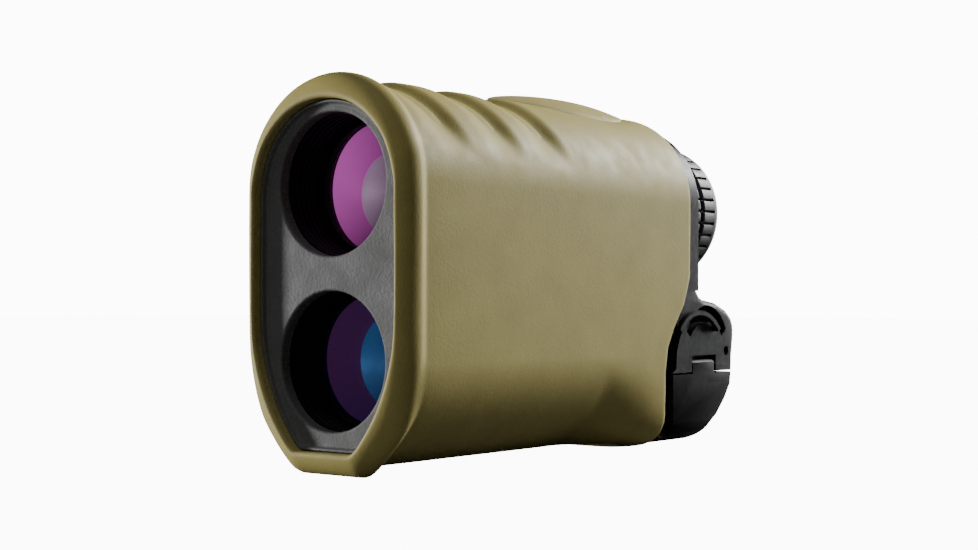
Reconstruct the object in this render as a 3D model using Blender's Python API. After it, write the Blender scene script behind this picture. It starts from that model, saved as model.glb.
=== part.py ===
"""Handheld laser rangefinder: rubber-armoured monocular with a laser receiver below it.

Design coordinates are millimetres: y runs back from the bezel face, z up from the optical
axis of the viewing objective, x to the side that carries the strap bar. FRAME_SHIFT moves
the design into the row frame, whose origin is the bottom centre of the bounding box.
"""
import math

import bmesh
import bpy
from mathutils import Matrix, Vector

MM = 0.001

# Driving dimensions
AXIS_SPACING = 32.46        # viewing objective to receiver objective
LIP_FRONT = -2.9            # front of the armour lip
BASE_Z = -53.3              # resting plane: lip and heel
FRAME_SHIFT = Vector((0.0, -56.6, -BASE_Z))
ARMOUR_R = 20.0             # armour outer radius around either optical axis
ARMOUR_FLOOR = -51.8        # underside of the armour between lip and heel
LINING_R = 18.7             # armour inner radius
HOUSING_R = 18.4            # housing outer radius
CAVITY_R = 16.9             # housing inner radius
GAP = 0.3                   # between touching pieces
HOUSING_FRONT = 2.9
REAR_WALL = 99.0            # back of the housing around the eyepiece
BULGE_X = 18.2              # half width of the battery housing
BULGE_FRONT, BULGE_FLOOR = 84.9, -52.2
DOOR_TOP = -37.5            # parting plane of the battery door
DOOR_FRONT = 88.6
DOOR_GAP = 0.4
TAB_Y0, TAB_Y1, TAB_TOP = 96.9, 106.1, -34.4
HINGE_X, HINGE_Z = -18.2, -37.55
DIOPTER_TEETH = 36
BUTTON_FRONT, BUTTON_REAR, BUTTON_HALF = 46.0, 90.5, 8.6
BUTTON_BOSS_Y = 78.0
BATTERY_Y, BATTERY_Z, BATTERY_R = 99.9, -33.0, 7.8
SLOT_Y, SLOT_Z = 102.7, -34.8   # centre of the strap slot
STRAP_Y, STRAP_R = 98.0, 10.9
EYE_Z = -1.0                # the ocular sits a little below the objective
CASE_SCREWS = {"case_screw_front": (16.0, -AXIS_SPACING / 2), "case_screw_rear": (111.6, -32.6)}
AROUND = 64                 # points around the armour and housing sections
TURN = 28                   # segments of a turned piece

# Half outlines as (x, z), from the top centre to the bottom centre
LIP_HALF = [(0, 20.5), (8, 18.9), (14.4, 14.6), (18.9, 8), (20.5, 0), (20.4, -22.5),
            (20.0, -34), (17.6, -42.8), (13.6, -48.4), (9.6, -52.2), (7.6, -53.2), (5.5, -53.4), (0, -53.4)]
OPENING_HALF = [(0, 15.5), (8, 13.6), (14.3, 8.2), (17.2, 1), (17.5, -6), (17.5, -25),
                (16.3, -33.2), (13.3, -40.8), (9.4, -46.6), (7.7, -48.4), (6.9, -48.9), (5.8, -49), (0, -49)]
# Rear edge of the armour as (z, y), from the bottom up
REAR_EDGE = [(-54, 84.4), (-47.6, 84.1), (-44, 83.3), (-37, 83.1), (-31.5, 84.1), (-27, 86.8),
             (-22, 90.8), (-16, 93.2), (21, 93.6)]
# Side outline of the battery housing as (y, z)
BULGE = [(BULGE_FRONT, -17), (98.8, -16.6), (99.3, -18.6), (100.6, -20.0), (102.6, -20.9), (108.0, -21.6),
         (112.4, -23.1), (114.8, -24.8), (115.8, -26.6), (116.0, -28.6), (115.7, -31.0), (115.2, -34.0),
         (115.1, -37.4), (114.6, -40.6), (112.0, -44.0), (108.4, -47.4), (103.6, -50.2), (98.4, BULGE_FLOOR),
         (BULGE_FRONT, BULGE_FLOOR)]
DOOR_POCKET = [(90.3, -30), (113.3, -30), (113.3, -37.8), (112.0, -40.8), (109.6, -43.4), (106.2, -46.4),
               (102.2, -48.6), (98.0, -50.3), (90.3, -50.3)]
# Sunken strip between the armour and the battery housing, as (y, z)
SIDE_RECESS = [(84.0, -27.2), (93.2, -27.2), (91.4, -29.4), (90.2, -32.5), (89.9, -36.2), (88.6, -37.1),
               (88.6, -60.0), (84.0, -60.0)]


# Scene and material helpers
def clear_scene():
    for obj in list(bpy.data.objects):
        bpy.data.objects.remove(obj, do_unlink=True)


def material(name, color, roughness, metallic=0.0, alpha=1.0):
    mat = bpy.data.materials.get(name) or bpy.data.materials.new(name)
    mat.use_nodes = True
    shader = mat.node_tree.nodes["Principled BSDF"]
    shader.inputs["Base Color"].default_value = (*color, 1.0)
    shader.inputs["Roughness"].default_value = roughness
    shader.inputs["Metallic"].default_value = metallic
    shader.inputs["Alpha"].default_value = alpha
    return mat


def armour_rubber():
    return material("armour_rubber", (0.22, 0.19, 0.09), 0.55)


def black_plastic():
    return material("black_plastic", (0.03, 0.03, 0.032), 0.5)


def bezel_plastic():
    return material("bezel_plastic", (0.05, 0.05, 0.05), 0.6)


def black_alloy():
    return material("black_alloy", (0.02, 0.02, 0.02), 0.45, 0.6)


def coated_glass():
    return material("coated_glass", (0.35, 0.1, 0.4), 0.05, alpha=0.4)


def clear_glass():
    return material("clear_glass", (0.75, 0.8, 0.82), 0.05, alpha=0.35)


def circuit_board():
    return material("circuit_board", (0.03, 0.14, 0.06), 0.5)


def chip_plastic():
    return material("chip_plastic", (0.02, 0.02, 0.02), 0.4)


def steel():
    return material("steel", (0.6, 0.6, 0.6), 0.3, 1.0)


def brass():
    return material("brass", (0.7, 0.5, 0.2), 0.3, 1.0)


def flex_film():
    return material("flex_film", (0.5, 0.2, 0.03), 0.4)


def eyecup_rubber():
    return material("eyecup_rubber", (0.06, 0.06, 0.06), 0.7)


def battery_wrap():
    return material("battery_wrap", (0.1, 0.2, 0.35), 0.35)


# Mesh helpers
def finish(name, bm, mat, origin=(0, 0, 0), smooth=True):
    """Turn design-space geometry into a placed object with its origin at a design point."""
    pivot = Vector(origin)
    bmesh.ops.recalc_face_normals(bm, faces=bm.faces[:])
    bmesh.ops.translate(bm, verts=bm.verts[:], vec=-pivot)
    bmesh.ops.scale(bm, verts=bm.verts[:], vec=(MM, MM, MM))
    mesh = bpy.data.meshes.new(name)
    bm.to_mesh(mesh)
    bm.free()
    if mat:
        mesh.materials.append(mat)
    if smooth:
        mesh.shade_smooth()
        mesh.set_sharp_from_angle(angle=math.radians(35))
    obj = bpy.data.objects.new(name, mesh)
    obj.location = (pivot + FRAME_SHIFT) * MM
    bpy.context.scene.collection.objects.link(obj)
    return obj


def box(x0, x1, y0, y1, z0, z1):
    bm = bmesh.new()
    bmesh.ops.create_cube(bm, size=1.0)
    bmesh.ops.scale(bm, verts=bm.verts[:], vec=(x1 - x0, y1 - y0, z1 - z0))
    bmesh.ops.translate(bm, verts=bm.verts[:], vec=((x0 + x1) / 2, (y0 + y1) / 2, (z0 + z1) / 2))
    return bm


def prism(points, direction):
    """Extrude a closed planar outline of 3-D points along a vector."""
    bm = bmesh.new()
    face = bm.faces.new([bm.verts.new(p) for p in points])
    extruded = bmesh.ops.extrude_face_region(bm, geom=[face])
    moved = [item for item in extruded["geom"] if isinstance(item, bmesh.types.BMVert)]
    bmesh.ops.translate(bm, verts=moved, vec=direction)
    return bm


def side_prism(outline, x0, x1):
    return prism([(x0, y, z) for y, z in outline], (x1 - x0, 0, 0))


def section_prism(section, y0, y1):
    return prism([(x, y0, z) for x, z in section], (0, y1 - y0, 0))


def turned(profile, z=0.0, segments=TURN):
    """Turn a closed (radius, y) profile about the y axis at height z."""
    bm = bmesh.new()
    verts = [bm.verts.new((radius, y, z)) for radius, y in profile]
    edges = [bm.edges.new((verts[i], verts[(i + 1) % len(verts)])) for i in range(len(verts))]
    bmesh.ops.spin(bm, geom=verts + edges, cent=(0, 0, z), axis=(0, 1, 0),
                   angle=math.tau, steps=segments, use_merge=True)
    bmesh.ops.remove_doubles(bm, verts=bm.verts[:], dist=1e-4)
    loose = [edge for edge in bm.edges if not edge.link_faces]
    bmesh.ops.delete(bm, geom=loose, context="EDGES")
    return bm


def rod(start, end, radius, segments=20, end_radius=None):
    """Round rod or cone between two points."""
    axis = Vector(end) - Vector(start)
    bm = bmesh.new()
    bmesh.ops.create_cone(bm, cap_ends=True, segments=segments, radius1=radius,
                          radius2=end_radius or radius, depth=axis.length)
    turn = Vector((0, 0, 1)).rotation_difference(axis).to_matrix().to_4x4()
    move = Matrix.Translation((Vector(start) + Vector(end)) / 2)
    bmesh.ops.transform(bm, matrix=move @ turn, verts=bm.verts[:])
    return bm


def sweep(path, radius, sides=8):
    """Round tube along a list of points, capped at both ends."""
    rings = []
    for index, point in enumerate(path):
        before = path[max(index - 1, 0)]
        after = path[min(index + 1, len(path) - 1)]
        tangent = (after - before).normalized()
        across = tangent.orthogonal() if not rings else (across - tangent * across.dot(tangent))
        across.normalize()
        up = tangent.cross(across)
        rings.append([point + radius * (math.cos(math.tau * k / sides) * across
                                        + math.sin(math.tau * k / sides) * up)
                      for k in range(sides)])
    return skin(rings, False)


def skin(rings, ring_of_rings):
    """Bridge point rings of equal count; close the tube on itself or cap its ends."""
    bm = bmesh.new()
    grid = [[bm.verts.new(p) for p in ring] for ring in rings]
    count = len(rings[0])
    last = len(rings) if ring_of_rings else len(rings) - 1
    for i in range(last):
        near, far = grid[i], grid[(i + 1) % len(grid)]
        for k in range(count):
            n = (k + 1) % count
            bm.faces.new((near[k], near[n], far[n], far[k]))
    if not ring_of_rings:
        bm.faces.new(grid[0])
        bm.faces.new(grid[-1])
    return bm


def cutter(name, bm):
    obj = finish(name, bm, None, smooth=False)
    obj.hide_render = True
    obj.display_type = "WIRE"
    return obj


def boolean(obj, operation, tool):
    mod = obj.modifiers.new(tool.name, "BOOLEAN")
    mod.operation = operation
    mod.solver = "EXACT"
    mod.object = tool


# Outlines
def catmull(points, steps=12):
    """Dense smooth curve through a half outline, level where it meets its mirror image."""
    (x1, z1), (x2, z2) = points[1], points[-2]
    padded = [(-x1, z1)] + points + [(-x2, z2)]
    curve = []
    for a, b, c, d in zip(padded, padded[1:], padded[2:], padded[3:]):
        for k in range(steps):
            t = k / steps
            curve.append(tuple(
                0.5 * (2 * b[i] + (c[i] - a[i]) * t + (2 * a[i] - 5 * b[i] + 4 * c[i] - d[i]) * t * t
                       + (3 * b[i] - a[i] - 3 * c[i] + d[i]) * t ** 3) for i in range(2)))
    curve.append(points[-1])
    return curve


def resample(curve, count):
    """Even steps along a closed polyline."""
    loop = curve + [curve[0]]
    lengths = [0.0]
    for p, q in zip(loop, loop[1:]):
        lengths.append(lengths[-1] + math.dist(p, q))
    samples, j = [], 0
    for i in range(count):
        target = lengths[-1] * i / count
        while lengths[j + 1] < target:
            j += 1
        t = (target - lengths[j]) / (lengths[j + 1] - lengths[j])
        samples.append(tuple(loop[j][k] + t * (loop[j + 1][k] - loop[j][k]) for k in range(2)))
    return samples


def section(half, floor=-60.0):
    """Full symmetric section from a half outline, flattened at the floor."""
    right = catmull([tuple(map(float, p)) for p in half])
    left = [(-x, z) for x, z in reversed(right[1:-1])]
    return [(x, max(z, floor)) for x, z in resample(right + left, AROUND)]


def stadium(radius, floor=-60.0):
    """Two half circles around the optical axes joined by straight sides."""
    arc = [math.pi * k / 40 for k in range(41)]
    top = [(radius * math.sin(a), radius * math.cos(a)) for a in arc if a <= math.pi / 2]
    low = [(radius * math.sin(a), radius * math.cos(a) - AXIS_SPACING) for a in arc if a >= math.pi / 2]
    right = top + low
    left = [(-x, z) for x, z in reversed(right[1:-1])]
    return [(x, max(z, floor)) for x, z in resample(right + left, AROUND)]


def squared(half, floor, corner, top=20.0):
    """Upright section with straight sides and rounded lower corners."""
    arc = [math.pi / 2 * k / 6 for k in range(7)]
    right = [(half, top)] + [(half - corner + corner * math.cos(a), floor + corner - corner * math.sin(a))
                             for a in arc]
    return right + [(-x, z) for x, z in reversed(right)]


def blend(a, b, t):
    return [(p[0] + t * (q[0] - p[0]), p[1] + t * (q[1] - p[1])) for p, q in zip(a, b)]


def at(outline, y):
    return [(x, y, z) for x, z in outline]


def smoothstep(low, high, value):
    t = min(max((value - low) / (high - low), 0.0), 1.0)
    return t * t * (3 - 2 * t)


def rear_edge(z):
    for (z0, y0), (z1, y1) in zip(REAR_EDGE, REAR_EDGE[1:]):
        if z <= z1:
            return y0 + (y1 - y0) * (z - z0) / (z1 - z0)
    return REAR_EDGE[-1][1]


# Rubber armour
def finger_groove(y, z):
    """Depth of the three finger grooves that cross the top and fade down the shoulders."""
    lean = (20 - z) * 0.33
    depth = 0.0
    for start in (10.0, 26.0, 41.0):
        distance = abs(y - start - lean)
        depth += 0.5 * (1 + math.cos(math.pi * min(distance / 6.5, 1.0)))
    return 1.0 * depth * smoothstep(3, 11, z)


def thumb_scoop(y, z):
    return 0.8 * math.exp(-((y - 68) / 7) ** 2 - ((z + 44) / 6) ** 2)


def flare(x, y, z):
    """Square the lower half of the section towards the rear, around the battery."""
    below = -AXIS_SPACING - z
    if below <= 0:
        return x, z
    share = smoothstep(66, 82, y)
    power = 2 + 4.5 * share
    reach = math.hypot(x, below)
    tall = ARMOUR_R + share * (-AXIS_SPACING - BASE_Z - ARMOUR_R)
    scale = ((abs(x) / reach / ARMOUR_R) ** power + (below / reach / tall) ** power) ** (-1 / power)
    floor = ARMOUR_FLOOR + share * (BASE_Z - ARMOUR_FLOOR)
    return x / reach * scale, max(-AXIS_SPACING - below / reach * scale, floor)


def armour_point(x, y, z):
    """Move a point of the plain armour section in or out by the local relief."""
    x, z = flare(x, y, z)
    centre = min(max(z, -AXIS_SPACING), 0.0)
    outward = Vector((x, 0, z - centre)).normalized()
    return Vector((x, y, z)) - outward * (finger_groove(y, z) + thumb_scoop(y, z))


def armour_sleeve():
    lip, opening = section(LIP_HALF, BASE_Z), section(OPENING_HALF)
    body, lining = stadium(ARMOUR_R), stadium(LINING_R)
    neck = stadium(ARMOUR_R, ARMOUR_FLOOR)
    profile = [(0.0, HOUSING_FRONT - GAP), (0.0, -2.4), (0.12, LIP_FRONT), (0.4, -2.6), (0.7, -1.7),
               (0.9, -0.5), (1.0, 0.3), (1.0, 1.7)]
    rings = [at(blend(opening, lip, share), y) for share, y in profile] + [at(blend(lip, neck, 0.8), 2.2)]
    stations = 27
    for step in range(1, stations + 1):
        share = step / stations
        ring = []
        for x, z in body:
            y = 2.2 + share * (rear_edge(flare(x, 90, z)[1]) - 2.2)
            ring.append(armour_point(x, y, z))
        rings.append(ring)
    rings.append([(x, rings[-1][k][1], z) for k, (x, z) in enumerate(lining)])
    rings.append(at(lining, HOUSING_FRONT - GAP))
    sleeve = finish("armor_sleeve", skin(rings, True), armour_rubber())
    opening_tool = cutter("button_opening_cutter", leaf_prism(GAP + 0.05, 12.0, 30.0))
    boolean(sleeve, "DIFFERENCE", opening_tool)


# Fire button
def leaf_half_width(y, grow=0.0):
    """Half width of the leaf outline: pointed at the front, round at the rear."""
    front, rear = BUTTON_FRONT - grow, BUTTON_REAR + grow
    t = min(max((y - front) / (rear - front), 0.0), 1.0)
    return (BUTTON_HALF + grow) * math.sqrt(max(1 - ((t - 0.68) / 0.32) ** 2, 0)) if t > 0.68 else \
        (BUTTON_HALF + grow) * math.sin(math.pi / 2 * t / 0.68) ** 1.1


def leaf_stations(grow=0.0):
    front, rear = BUTTON_FRONT - grow, BUTTON_REAR + grow
    steps = 18
    return [front + (rear - front) * (0.5 - 0.5 * math.cos(math.pi * k / steps)) for k in range(1, steps)]


def leaf_prism(grow, z0, z1):
    right = [(leaf_half_width(y, grow), y) for y in leaf_stations(grow)]
    outline = [(0, BUTTON_FRONT - grow)] + right + [(0, BUTTON_REAR + grow)]
    outline += [(-x, y) for x, y in reversed(right)]
    return prism([(x, y, z0) for x, y in outline], (0, 0, z1 - z0))


def fire_button():
    under = HOUSING_R + 1.3
    across = 8
    rings = []
    for y in leaf_stations():
        half = leaf_half_width(y)
        crown = 2.1 * math.sin(math.pi * (y - BUTTON_FRONT) / (BUTTON_REAR - BUTTON_FRONT)) ** 0.6
        xs = [half * (2 * k / across - 1) for k in range(across + 1)]
        top = [(x, y, math.sqrt(ARMOUR_R ** 2 - x * x) + 0.1 + crown * (1 - (x / half) ** 2))
               for x in xs]
        bottom = [(x, y, math.sqrt(under ** 2 - x * x) - 0.35) for x in reversed(xs)]
        rings.append(top + bottom)
    button = finish("fire_button", skin(rings, False), armour_rubber(),
                    origin=(0, BUTTON_BOSS_Y, 20))
    boss = cutter("button_boss", rod((0, BUTTON_BOSS_Y, 16.4), (0, BUTTON_BOSS_Y, 20.4), 3.4))
    boolean(button, "UNION", boss)


def fire_switch():
    body = finish("fire_switch", box(-3, 3, 75, 81, 11.4, 14.4), chip_plastic(), smooth=False)
    plunger = cutter("plunger_shape", rod((0, BUTTON_BOSS_Y, 14), (0, BUTTON_BOSS_Y, 15.2), 1.3, 12))
    boolean(body, "UNION", plunger)
    finish("switch_bracket", box(-10.8, 10.8, 73.5, 82.5, 9.9, 11.1), steel(), smooth=False)


# Housing
def bulge_solid():
    bm = side_prism(BULGE, -BULGE_X, BULGE_X)
    rim = [e for e in bm.edges if abs(e.verts[0].co.x - e.verts[1].co.x) < 1e-6
           and max(v.co.y for v in e.verts) > BULGE_FRONT + 1]
    bmesh.ops.bevel(bm, geom=rim, offset=1.8, segments=3, profile=0.5, affect="EDGES", clamp_overlap=True)
    return bm


def rounded_floor(name):
    """Everything inside the rounded lower corners of the battery housing."""
    return cutter(name, section_prism(squared(BULGE_X + 0.01, BULGE_FLOOR - 0.01, 4.5), 70, 130))


def screw_boss(y, z):
    return rod((-17.4, y, z), (17.4, y, z), 1.5, 14)


def housing_half(name, side, tools):
    half = finish(name, section_prism(stadium(HOUSING_R), HOUSING_FRONT, REAR_WALL), black_plastic())
    for operation, tool in tools:
        boolean(half, operation, tool)
    low, high = (GAP / 2, 30) if side > 0 else (-30, -GAP / 2)
    keep = cutter(name + "_half_space", box(low, high, -10, 130, -70, 40))
    boolean(half, "INTERSECT", keep)
    return half


def housing():
    main_void = cutter("main_void", section_prism(stadium(CAVITY_R), HOUSING_FRONT - 5, 97.2))
    keep_wall = cutter("wall_keeper", box(-30, 30, 83.9, 100, -60, -19.5))
    boolean(main_void, "DIFFERENCE", keep_wall)
    behind_armour = cutter("behind_armour", box(-30, 30, 84.7, 130, -70, -19.0))
    bulge = cutter("bulge_shape", bulge_solid())
    boolean(bulge, "INTERSECT", rounded_floor("bulge_floor"))
    side_recess = cutter("side_recess", side_prism(SIDE_RECESS, 16.6, 30))
    battery_void = cutter("battery_void", box(-16.0, 14.4, 90.4, 110.6, -60, -24.2))
    door_void = cutter("door_void", box(-30, 30, DOOR_FRONT - GAP, 130, -70, DOOR_TOP + DOOR_GAP))
    tab_void = cutter("tab_void", box(16.3, 30, TAB_Y0 - 0.4, TAB_Y1 + 0.8, -45, TAB_TOP + 1.0))
    eyepiece_bore = cutter("eyepiece_bore", rod((0, 90, EYE_Z), (0, 105, EYE_Z), 11.5, TURN))
    button_bore = cutter("button_bore", rod((0, BUTTON_BOSS_Y, 10), (0, BUTTON_BOSS_Y, 25), 4.2))
    common = [("DIFFERENCE", behind_armour), ("UNION", bulge), ("DIFFERENCE", main_void),
              ("DIFFERENCE", battery_void)]
    holes = []
    for name, (y, z) in CASE_SCREWS.items():
        common.append(("UNION", cutter(name + "_boss", screw_boss(y, z))))
        holes.append(("DIFFERENCE", cutter(name + "_hole", rod((-15, y, z), (30, y, z), 1.05, 14))))
    common += holes
    common += [("DIFFERENCE", door_void), ("DIFFERENCE", eyepiece_bore), ("DIFFERENCE", button_bore)]
    strap_void = cutter("strap_void", side_prism(strap_slot(), 15.2, 30))
    sockets = [("DIFFERENCE", cutter("strap_socket_%d" % n, side_prism(outline, 16.0, 30)))
               for n, outline in enumerate(strap_feet(GAP))]
    housing_half("housing_right", 1, common + [("DIFFERENCE", side_recess), ("DIFFERENCE", tab_void),
                                               ("DIFFERENCE", strap_void)] + sockets)
    knuckle = cutter("housing_knuckle", rod((HINGE_X, 96.3, HINGE_Z), (HINGE_X, 103.7, HINGE_Z), 1.4))
    knuckle_bore = cutter("housing_knuckle_bore",
                          rod((HINGE_X, 90, HINGE_Z), (HINGE_X, 110, HINGE_Z), 0.75, 12))
    clearances = [("DIFFERENCE", cutter("knuckle_clearance_%d" % n,
                                        rod((HINGE_X, y0, HINGE_Z), (HINGE_X, y1, HINGE_Z), 1.75)))
                  for n, (y0, y1) in enumerate(((91.7, 96.2), (103.8, 108.3)))]
    housing_half("housing_left", -1, common + clearances + [("UNION", knuckle),
                                                            ("DIFFERENCE", knuckle_bore)])


def case_screws():
    for name, (y, z) in CASE_SCREWS.items():
        profile = [(0, -12), (0.75, -12), (0.75, 17.2), (0, 17.2)]
        bm = turned(profile, segments=12)
        turn = Matrix.Rotation(math.radians(-90), 4, "Z")
        bmesh.ops.transform(bm, matrix=Matrix.Translation((0, y, z)) @ turn, verts=bm.verts[:])
        finish(name, bm, steel())


# Strap bar in its arched slot
def polar(y, z, radius, degrees):
    return y + radius * math.cos(math.radians(degrees)), z + radius * math.sin(math.radians(degrees))


def strap_slot():
    """Crescent around the disc, widest at its top rear."""
    reach = [(39, 11.3), (50, 11.7), (62, 12.1), (76, 12.5), (90, 12.6), (104, 12.3), (116, 11.7),
             (128, 11.2), (141, 10.9)]
    far = [polar(SLOT_Y, SLOT_Z, radius, angle) for angle, radius in reach]
    near = [polar(SLOT_Y, SLOT_Z, 8.85, angle) for angle, _ in reversed(reach)]
    return far + near


def strap_feet(grow):
    """Outlines of the two ends of the bar where it enters the housing."""
    return [[polar(STRAP_Y, SLOT_Z, STRAP_R + dr, angle + da) for dr, da in
             ((-0.5 - grow, -3 - 2 * grow), (0.5 + grow, -3 - 2 * grow), (0.5 + grow, 3 + 2 * grow),
              (-0.5 - grow, 3 + 2 * grow))] for angle in (43, 137)]


def strap_bar():
    """Arched bar standing proud of the side; its two feet go into the housing."""
    angles = [40 + 100 * k / 24 for k in range(25)]
    outline = [polar(STRAP_Y, SLOT_Z, STRAP_R + 0.5, a) for a in angles]
    outline += [polar(STRAP_Y, SLOT_Z, STRAP_R - 0.5, a) for a in reversed(angles)]
    bar = finish("strap_bar", side_prism(outline, 18.5, 19.6), steel())
    for n, foot in enumerate(strap_feet(0.0)):
        boolean(bar, "UNION", cutter("strap_foot_%d" % n, side_prism(foot, 16.4, 19.2)))


# Battery and its door
def battery_door():
    door = finish("battery_door", bulge_solid(), black_plastic(), origin=(HINGE_X, 99.9, HINGE_Z))
    boolean(door, "INTERSECT", rounded_floor("door_floor"))
    boolean(door, "INTERSECT", cutter("door_lower", box(-30, 30, DOOR_FRONT, 130, -70, DOOR_TOP)))
    boolean(door, "DIFFERENCE", cutter("door_pocket", side_prism(DOOR_POCKET, -16.2, 16.2)))
    profile = [(16.6, -39.5), (BULGE_X, -39.5), (BULGE_X, TAB_TOP - 0.6), (BULGE_X - 0.6, TAB_TOP),
               (16.6, TAB_TOP)]
    tab = prism([(x, TAB_Y0, z) for x, z in profile], (0, TAB_Y1 - TAB_Y0, 0))
    boolean(door, "UNION", cutter("door_tab", tab))
    clearance = cutter("door_clearance", rod((HINGE_X, 95.9, HINGE_Z), (HINGE_X, 104.1, HINGE_Z), 1.75))
    boolean(door, "DIFFERENCE", clearance)
    for n, (y0, y1) in enumerate(((92.0, 95.9), (104.1, 108.0))):
        knuckle = cutter("door_knuckle_%d" % n, rod((HINGE_X, y0, HINGE_Z), (HINGE_X, y1, HINGE_Z), 1.4))
        boolean(door, "UNION", knuckle)
    bore = cutter("door_bore", rod((HINGE_X, 90, HINGE_Z), (HINGE_X, 110, HINGE_Z), 0.75, 12))
    boolean(door, "DIFFERENCE", bore)
    finish("door_hinge_pin", rod((HINGE_X, 91.8, HINGE_Z), (HINGE_X, 108.2, HINGE_Z), 0.45, 12), steel())


def battery():
    profile = [(0, -13.9), (5, -13.9), (BATTERY_R - 0.4, -13.9), (BATTERY_R, -13.5),
               (BATTERY_R, 12.0), (BATTERY_R - 0.5, 12.6), (3, 12.6), (3, 13.4), (0, 13.4)]
    bm = turned(profile, segments=24)
    turn = Matrix.Rotation(math.radians(-90), 4, "Z")
    bmesh.ops.transform(bm, matrix=Matrix.Translation((0, BATTERY_Y, BATTERY_Z)) @ turn, verts=bm.verts[:])
    finish("battery", bm, battery_wrap())
    plate = rod((13.7, BATTERY_Y, BATTERY_Z), (14.1, BATTERY_Y, BATTERY_Z), 4.5)
    finish("battery_contact_plate", plate, brass())
    turns, steps = 2.5, 30
    path = []
    for k in range(steps + 1):
        share = k / steps
        angle = math.tau * turns * share
        radius = 5.2 - 2.4 * share
        path.append(Vector((-15.55 + 1.2 * share, BATTERY_Y + radius * math.cos(angle),
                            BATTERY_Z + radius * math.sin(angle))))
    finish("battery_contact_spring", sweep(path, 0.16, 6), steel())


# Front bezel and objective tubes
def front_bezel():
    outline = [(x * 0.985, (z + 16.6) * 0.99 - 16.6) for x, z in section(OPENING_HALF)]
    rim = [(x * 0.95, (z + 16.6) * 0.97 - 16.6) for x, z in outline]
    rings = [at(outline, 2.3), at(outline, -0.9), at(rim, -0.9), at(rim, 0.0)]
    bezel = finish("front_bezel", skin(rings, False), bezel_plastic())
    for name, z, radius in (("upper_aperture", 0.0, 13.2), ("lower_aperture", -AXIS_SPACING, 12.95)):
        tool = turned([(0, 4), (radius, 4), (radius, 0.5), (radius + 1.0, -0.5), (radius + 1.0, -5), (0, -5)],
                      z, 40)
        boolean(bezel, "DIFFERENCE", cutter(name, tool))


def lens(name, z, radius, rim_front, rim_rear, bulge_front, bulge_rear, mat):
    steps = 3
    front = [(radius * k / steps, rim_front - bulge_front * (1 - (k / steps) ** 2)) for k in range(steps + 1)]
    rear = [(radius * k / steps, rim_rear + bulge_rear * (1 - (k / steps) ** 2))
            for k in range(steps, -1, -1)]
    return finish(name, turned(front + rear, z), mat)


def viewing_objective():
    tube = [(12.95, 2.6), (14.3, 2.6), (14.3, 30), (11.6, 30), (11.6, 15.3), (12.95, 15.3)]
    finish("objective_tube", turned(tube), black_alloy())
    ring = [(12.0, 10.8), (12.65, 10.8), (12.65, 12.0), (12.0, 12.0)]
    finish("objective_retainer", turned(ring), black_alloy())
    lens("objective_lens", 0, 12.6, 12.3, 15.0, 2.0, 0.8, coated_glass())


def receiver_objective():
    z = -AXIS_SPACING
    tube = [(12.7, 2.6), (14.0, 2.6), (14.0, 30), (11.4, 30), (11.4, 12.9), (12.7, 12.9)]
    finish("receiver_tube", turned(tube, z), black_alloy())
    ring = [(11.8, 8.8), (12.4, 8.8), (12.4, 9.9), (11.8, 9.9)]
    finish("receiver_retainer", turned(ring, z), black_alloy())
    lens("receiver_lens", z, 12.35, 10.2, 12.6, 2.0, 0.8, coated_glass())
    cone = [(14.0, 30.4), (4.6, 49.9), (3.6, 49.9), (13.0, 30.4)]
    finish("receiver_baffle_cone", turned(cone, z), black_plastic())
    finish("receiver_filter", rod((0, 40, z), (0, 41.2, z), 7.4, TURN), coated_glass())


# Optical and electronic insides
def optical_chassis():
    chassis = finish("optical_chassis", box(-11.3, 11.3, 31.2, 72, -11.4, 11.3), black_plastic(),
                     smooth=False)
    tools = {
        "splitter_bay": box(-9.3, 20, 33.0, 45.5, -9.4, 9.3),
        "prism_bay": box(-8.9, 20, 48.5, 69.6, -9.0, 9.0),
        "chassis_front_bore": rod((0, 25, 0), (0, 40, 0), 9.0, TURN),
        "chassis_rear_bore": rod((0, 40, 0), (0, 80, 0), 7.6, TURN),
        "laser_bore": rod((0, 38.2, -20), (0, 38.2, 0), 3.0),
    }
    for name, bm in tools.items():
        boolean(chassis, "DIFFERENCE", cutter(name, bm))
    plate = box(-8.5, 8.5, -0.5, 0.5, -8, 8)
    tilt = Matrix.Translation((0, 39.2, 0)) @ Matrix.Rotation(math.radians(-45), 4, "X")
    bmesh.ops.transform(plate, matrix=tilt, verts=plate.verts[:])
    finish("laser_splitter", plate, clear_glass(), smooth=False)
    front = [(48.8, -8), (48.8, 8), (57.2, 8), (62.6, -8)]
    rear = [(57.8, 8), (69.2, 8), (69.2, -8), (63.2, -8)]
    finish("half_penta_prism", side_prism(front, -8.4, 8.4), clear_glass(), smooth=False)
    finish("roof_prism", side_prism(rear, -8.4, 8.4), clear_glass(), smooth=False)


def laser_emitter():
    mount = finish("laser_mount", box(-5, 5, 33.6, 42.8, -19.8, -11.8), black_alloy(), smooth=False)
    boolean(mount, "DIFFERENCE", cutter("laser_seat", rod((0, 38.2, -30), (0, 38.2, 0), 3.15)))
    finish("laser_diode", rod((0, 38.2, -19.6), (0, 38.2, -14.6), 2.8), brass())


def display():
    ring = [(9.0, 83.2), (12.5, 83.2), (12.5, 86.4), (9.0, 86.4)]
    finish("display_frame", turned(ring, EYE_Z), black_plastic())
    finish("display_glass", rod((0, 84.2, EYE_Z), (0, 85.4, EYE_Z), 8.6, TURN), clear_glass())


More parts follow.
